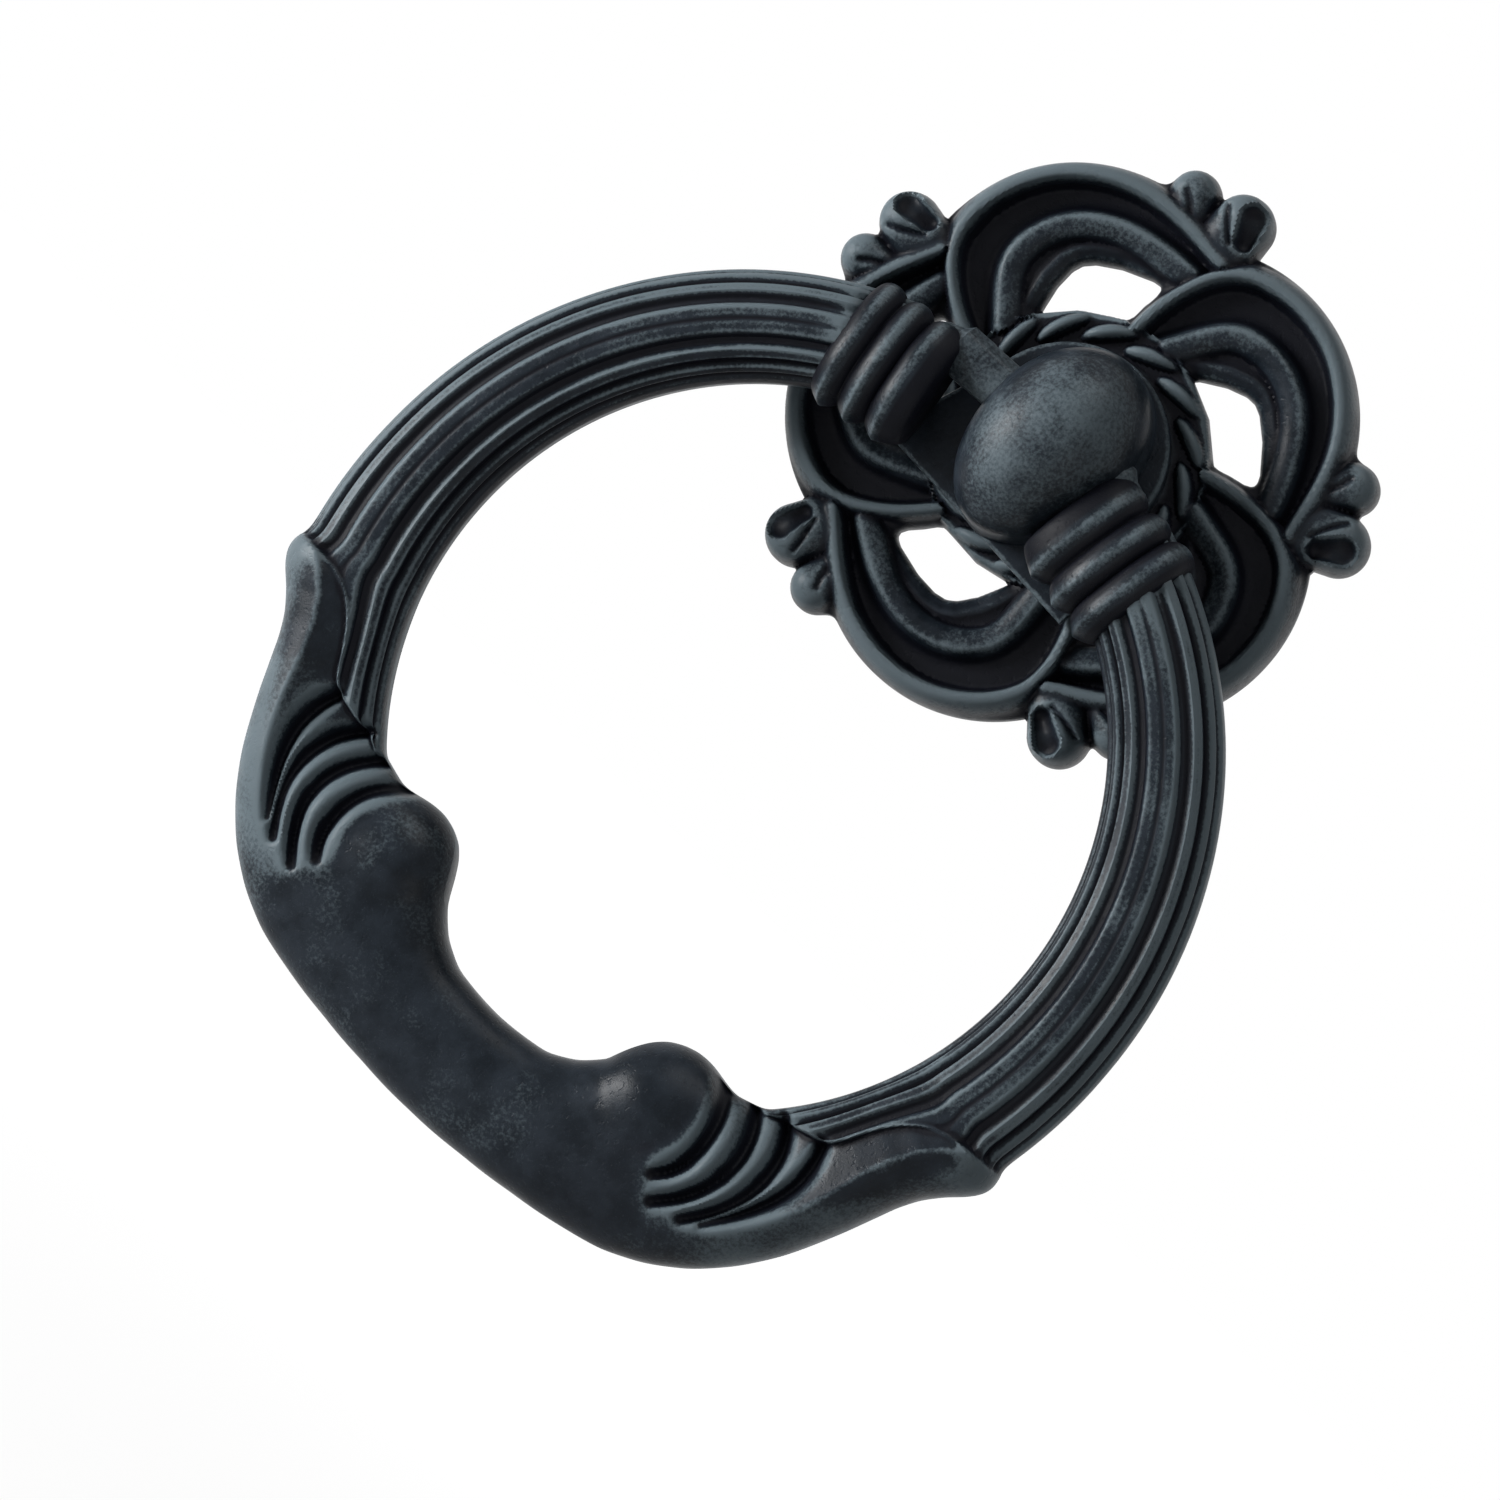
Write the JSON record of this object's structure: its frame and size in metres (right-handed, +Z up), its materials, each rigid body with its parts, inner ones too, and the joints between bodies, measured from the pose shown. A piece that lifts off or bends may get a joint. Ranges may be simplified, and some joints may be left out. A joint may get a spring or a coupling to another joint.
{
  "type": "ring pull handle",
  "caption": "Cabinet and drawer ring pull: a cast pinwheel rosette with a domed boss that carries a reeded hanging ring with scrolled leaves.",
  "frame": {"origin": "mouth of the tapped hole, in the middle of the rosette's back face on the mounting plane", "axes": "+X right and +Z up as mounted on a drawer front, the front of the handle faces -Y, +Y goes into the drawer front along the mounting screw"},
  "size_m": [0.0669, 0.0134, 0.0853],
  "materials": {
    "rosette_coat": "satin blue-black coat on zinc die casting, slightly worn on the crests",
    "boss_coat": "satin blue-black coat on zinc die casting, slightly worn on the crests",
    "ring_coat": "satin blue-black coat on zinc die casting, slightly worn on the crests"
  },
  "bodies": {
    "mounted": {"rosette": "rosette_coat", "boss": "boss_coat"},
    "pull_ring": {"ring": "ring_coat"}
  },
  "joints": [
    {"name": "ring_swing", "type": "hinge", "parent": "mounted", "child": "pull_ring", "pos_m": [0, -0.0077, 0], "axis": [-1, 0, 0], "range_deg": [-3, 165]}
  ]
}
